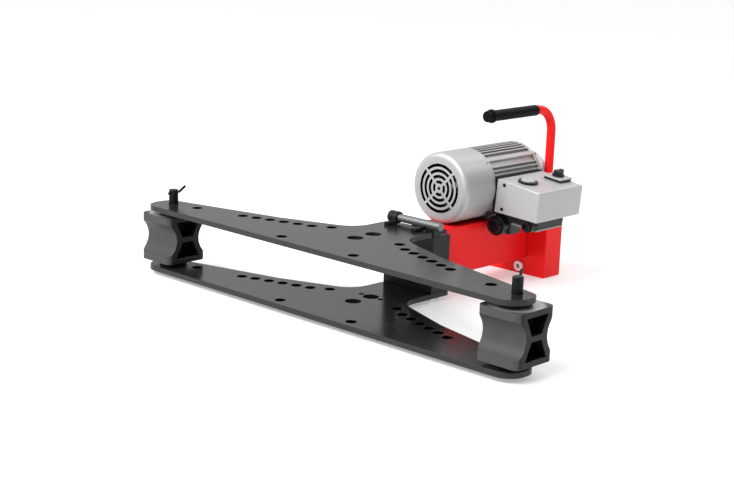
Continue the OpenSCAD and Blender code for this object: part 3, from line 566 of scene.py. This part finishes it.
def spoke(turn):
    """Direction out from the motor's axis at a turn in degrees: 0 is to the right and 90 is up."""
    angle = math.radians(turn)
    return Vector((math.cos(angle), 0.0, math.sin(angle)))


def pointing(place, axis):
    """Seat of a form drawn on Z that stands at a place and points along an axis."""
    return Matrix.Translation(place) @ Vector(axis).to_track_quat("Z", "Y").to_matrix().to_4x4()


def fitting(name, form, seat, body, slot, finish=None):
    """Moves a form to its seat, makes a piece of it and hands that to the body that carries it."""
    form.transform(seat)
    mesh = bpy.data.meshes.new(name)
    form.to_mesh(mesh)
    form.free()
    mesh.shade_smooth()
    mesh.set_sharp_from_angle(angle=SHARPEST_SMOOTH)
    mesh.materials.append(FINISHES[finish or slot])
    piece = bpy.data.objects.new(name, mesh)
    bpy.context.collection.objects.link(piece)
    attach(piece, body)
    return piece


def pan_head(half_width, height):
    """Screw head with a domed crown and a cross recess."""
    return turned(
        ("round", half_width, -SUNK),
        ("round", half_width, 0.45 * height),
        ("round", 0.9 * half_width, 0.8 * height),
        ("round", 0.68 * half_width, height),
        ("cross", 0.56 * half_width, height),
        ("cross", 0.44 * half_width, 0.4 * height),
    )


def hex_head(half_flats, height):
    """Hexagon bolt head on a round washer, its corners turned off."""
    return turned(
        ("round", 1.25 * half_flats, -SUNK),
        ("round", 1.25 * half_flats, 0.2 * height),
        ("hexagon", half_flats, 0.2 * height),
        ("hexagon", half_flats, 0.86 * height),
        ("round", 0.98 * half_flats, height),
        ("round", 0.6 * half_flats, height),
    )


def socket_head(half_width, height):
    """Cap screw head with a hexagon socket."""
    return turned(
        ("round", half_width, -SUNK),
        ("round", half_width, 0.86 * height),
        ("round", 0.86 * half_width, height),
        ("round", 0.66 * half_width, height),
        ("hexagon", 0.52 * half_width, height),
        ("hexagon", 0.52 * half_width, 0.35 * height),
    )


def cowl_screws():
    """Screws that hold the fan cowl, round its rear rim."""
    low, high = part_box("fan_cowl")
    middle = (low + high) / 2.0
    radius = (high.x - low.x) / 2.0
    rim_inset = 0.009
    for number, turn in enumerate(COWL_SCREW_TURNS, 1):
        out = spoke(turn)
        place = Vector((middle.x, high.y - rim_inset, middle.z)) + out * radius
        seat = pointing(place, out)
        fitting("cowl_screw_%d" % number, pan_head(*COWL_SCREW), seat, "frame", "motor_grey")


def tie_bolts():
    """Long bolts that tie the drive-end shield to the motor, and the bosses under their heads."""
    low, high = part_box("drive_end_shield")
    middle = (low + high) / 2.0
    bolt_inset = 0.008
    bolt_circle = (high.x - low.x) / 2.0 - bolt_inset
    boss_foot = 0.006
    boss_face = 0.015
    boss_radius = 0.0074
    boss_chamfer = 0.0008
    for number, turn in enumerate(TIE_BOLT_TURNS, 1):
        place = Vector((middle.x, low.y + boss_face, middle.z)) + spoke(turn) * bolt_circle
        boss = turned(
            ("round", boss_radius, boss_foot - boss_face),
            ("round", boss_radius, -boss_chamfer),
            ("round", boss_radius - boss_chamfer, 0.0),
        )
        seat = pointing(place, (0.0, 1.0, 0.0))
        fitting("shield_boss_%d" % number, boss, seat, "frame", "motor_grey")
        fitting("tie_bolt_%d" % number, hex_head(*TIE_BOLT), seat, "frame", "bright_steel")


def pump_screws():
    """Cap screws of the pump's rear cover: two round the shaft, two in the foot."""
    low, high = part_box("pump_body")
    radius = (high.x - low.x) / 2.0
    shaft = Vector((0.0, high.y, high.z - radius))
    foot = Vector((0.0, high.y, low.z))
    circle_share = 0.76
    spread_share = 0.62
    rise_share = 0.3
    places = [shaft + spoke(turn) * circle_share * radius for turn in PUMP_SCREW_TURNS]
    places += [foot + Vector((side * spread_share, 0.0, rise_share)) * radius for side in (-1.0, 1.0)]
    for number, place in enumerate(places, 1):
        seat = pointing(place, (0.0, 1.0, 0.0))
        fitting("pump_screw_%d" % number, socket_head(*PUMP_SCREW), seat, "frame", "dark_steel")


def pump_union():
    """Bright pressure union on the right of the pump, beside the handle: a nut, a neck and a cap."""
    low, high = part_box("pump_body")
    radius = (high.x - low.x) / 2.0
    rise = 0.0295
    front_inset = 0.006
    nut_half = 0.0085
    nut_crown = 0.0082
    neck_radius = 0.0058
    cap_half = 0.0078
    cap_crown = 0.0074
    tip_radius = 0.0040
    nut_foot = -0.004
    nut_shoulder = 0.008
    nut_top = 0.009
    neck_top = 0.011
    cap_foot = 0.0115
    cap_shoulder = 0.0195
    cap_top = 0.021
    tip = 0.0215
    form = turned(
        ("hexagon", nut_half, nut_foot),
        ("hexagon", nut_half, nut_shoulder),
        ("round", nut_crown, nut_top),
        ("round", neck_radius, nut_top),
        ("round", neck_radius, neck_top),
        ("hexagon", cap_half, cap_foot),
        ("hexagon", cap_half, cap_shoulder),
        ("round", cap_crown, cap_top),
        ("round", tip_radius, tip),
    )
    reach = math.sqrt(radius ** 2 - rise ** 2)
    seat = pointing((reach, low.y + front_inset, high.z - radius + rise), (1.0, 0.0, 0.0))
    fitting("pump_union", form, seat, "frame", "bright_steel", "plug_zinc")


def selector_pointer():
    """Pale line let into the crown of the selector knob."""
    joint = next(joint for joint in frame["joints"] if joint["name"] == "selector_turn")
    axis = Vector(joint["axis"]).normalized()
    middle = Vector(joint["pos_m"])
    crown = max((vertex.co - middle).dot(axis) for vertex in nodes["selector_knob"].data.vertices)
    low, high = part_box("selector_knob")
    knob_length = high.y - low.y
    length_share = 0.38
    offset_share = 0.26
    half_length = length_share * knob_length / 2.0
    half_width = 0.0009
    proud = 0.0004
    form = turned(
        ("round", half_width, -SUNK),
        ("round", half_width, 0.5 * proud),
        ("round", 0.7 * half_width, proud),
    )
    form.transform(Matrix.Diagonal((1.0, half_length / half_width, 1.0, 1.0)))
    place = middle + axis * crown - Vector((0.0, offset_share * knob_length, 0.0))
    fitting("selector_pointer", form, pointing(place, axis), "selector", "box_grey")


def handle_weld():
    """Bead of weld ripples round the foot of the handle socket."""
    low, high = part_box("handle_socket")
    middle = (low + high) / 2.0
    radius = (high.x - low.x) / 2.0
    bead = 0.0032
    trough_share = 0.88
    ripple_share = 0.2
    ripples = 34
    steps_in_ripple = 6
    stations = ripples * steps_in_ripple
    section = 12
    form = bmesh.new()
    loops = []
    for station in range(stations):
        angle = 2.0 * math.pi * station / stations
        ripple = abs(math.sin(math.pi * station * ripples / stations))
        swell = bead * (trough_share + ripple_share * ripple)
        loop = []
        for side in range(section):
            slope = -2.0 * math.pi * side / section
            out = radius + swell * math.cos(slope)
            point = (out * math.cos(angle), out * math.sin(angle), swell * math.sin(slope))
            loop.append(form.verts.new(point))
        loops.append(loop)
    join_loops(form, loops + loops[:1])
    fitting("handle_weld", form, Matrix.Translation((middle.x, middle.y, low.z)), "frame", "red_paint")


def round_cornered(width, height, radius):
    """Points of a rectangle from (0, 0) to (width, height) with round corners."""
    corner_steps = 6
    points = []
    corners = ((width, height, 0.0), (0.0, height, 90.0), (0.0, 0.0, 180.0), (width, 0.0, 270.0))
    for x, y, start in corners:
        middle_x = min(max(x, radius), width - radius)
        middle_y = min(max(y, radius), height - radius)
        for step in range(corner_steps + 1):
            angle = math.radians(start + 90.0 * step / corner_steps)
            points.append((middle_x + radius * math.cos(angle), middle_y + radius * math.sin(angle)))
    return points


def gasket_sheet():
    """Rubber sheet between motor and terminal box, squeezed out past the box all round."""
    corners = [vertex.co for vertex in nodes["terminal_gasket"].data.vertices]
    low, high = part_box("terminal_gasket")
    foot = min(corners, key=lambda corner: corner.x)
    through = min(corners, key=lambda corner: corner.z) - foot
    rise = max(corners, key=lambda corner: corner.z) - foot
    through.y = 0.0
    rise.y = 0.0
    squeezed = 0.0018
    lap = 0.0030
    softness = 0.0008
    corner_radius = 0.004
    width = high.y - low.y + 2.0 * squeezed
    height = rise.length + 2.0 * squeezed
    thick = through.length + lap
    form = bmesh.new()
    loops = []
    for inset, level in ((softness, 0.0), (0.0, softness), (0.0, thick - softness), (softness, thick)):
        shift = inset - squeezed
        outline = round_cornered(width - 2.0 * inset, height - 2.0 * inset, corner_radius)
        loops.append([form.verts.new((x + shift, y + shift, level)) for x, y in outline])
    join_loops(form, loops)
    close_ends(form, loops)
    across = Vector((0.0, 1.0, 0.0))
    seat = Matrix((across, rise.normalized(), through.normalized())).transposed().to_4x4()
    seat.translation = (foot.x, low.y, foot.z)
    sheet = fitting("gasket_sheet", form, seat, "frame", "seal_rubber")
    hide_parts("terminal_gasket")


def floor_sheet():
    """Pale floor that glows a little."""
    mesh = bpy.data.meshes.new("floor")
    near = -FLOOR_HALF
    far = FLOOR_HALF
    mesh.from_pydata([(near, near, 0), (far, near, 0), (far, far, 0), (near, far, 0)], [], [(0, 1, 2, 3)])
    floor = bpy.data.objects.new("floor", mesh)
    bpy.context.collection.objects.link(floor)
    sheet = Finish("floor_sheet", Roughness=0.7, Specular_IOR_Level=0.2, Emission_Strength=FLOOR_GLOW)
    sheet.set("Emission Color", (1.0, 1.0, 1.0))
    sheet.set("Base Color", sheet.mix(*FLOOR_GREYS, sheet.noise(2.0)))
    mesh.materials.append(sheet.material)


def light_tent():
    """Tent of soft light all round, bright overhead and dim low on the right, shown in plain colours."""
    world = bpy.data.worlds.new("studio")
    bpy.context.scene.world = world
    world.use_nodes = True
    tent = Graph(world.node_tree)
    towards = tent.node("ShaderNodeTexCoord", {}, {}, "Generated")
    height = tent.along(towards, "Z")
    right = tent.along(towards, "X").over(0.10, 0.75) * (1.0 - height.over(0.30, 0.90))
    light = tent.mix(TENT_LOW, TENT_TOP, height.over(0.12, 0.60))
    tent.feed(world.node_tree.nodes["Background"].inputs["Color"], tent.mix(light, TENT_RIGHT, right))
    bpy.context.scene.view_settings.view_transform = "Standard"


def area_light(name, place, target, size, power):
    """Soft oblong lamp that stands at a place and shines on a target."""
    lamp = bpy.data.lights.new(name, "AREA")
    lamp.shape = "RECTANGLE"
    lamp.size, lamp.size_y = size
    lamp.energy = power
    stand = bpy.data.objects.new(name, lamp)
    bpy.context.collection.objects.link(stand)
    stand.location = place
    stand.rotation_euler = (Vector(target) - Vector(place)).to_track_quat("-Z", "Y").to_euler()


def photo_camera():
    """Camera at the photo's viewing angle, rolled a little as the photo is."""
    azimuth = math.radians(CAMERA_AZIMUTH)
    elevation = math.radians(CAMERA_ELEVATION)
    roll = math.radians(CAMERA_ROLL)
    right = Vector((math.cos(azimuth), math.sin(azimuth), 0.0))
    level_share = math.cos(elevation)
    back = Vector((math.sin(azimuth) * level_share, -math.cos(azimuth) * level_share, math.sin(elevation)))
    up = back.cross(right)
    rolled_right = right * math.cos(roll) + up * math.sin(roll)
    rolled_up = up * math.cos(roll) - right * math.sin(roll)
    lens = bpy.data.cameras.new("photo_camera")
    lens.lens = CAMERA_LENS
    lens.sensor_width = SENSOR_WIDTH
    lens.sensor_fit = "HORIZONTAL"
    lens.clip_end = CAMERA_SIGHT
    camera = bpy.data.objects.new("photo_camera", lens)
    bpy.context.collection.objects.link(camera)
    turn = Matrix((rolled_right, rolled_up, back)).transposed().to_4x4()
    camera.matrix_world = Matrix.Translation(CAMERA_AT) @ turn
    bpy.context.scene.camera = camera


dress_frame()
cowl_screws()
tie_bolts()
pump_screws()
pump_union()
selector_pointer()
handle_weld()
gasket_sheet()
floor_sheet()
light_tent()
for name, light in LIGHTS.items():
    area_light(name, **light)
photo_camera()
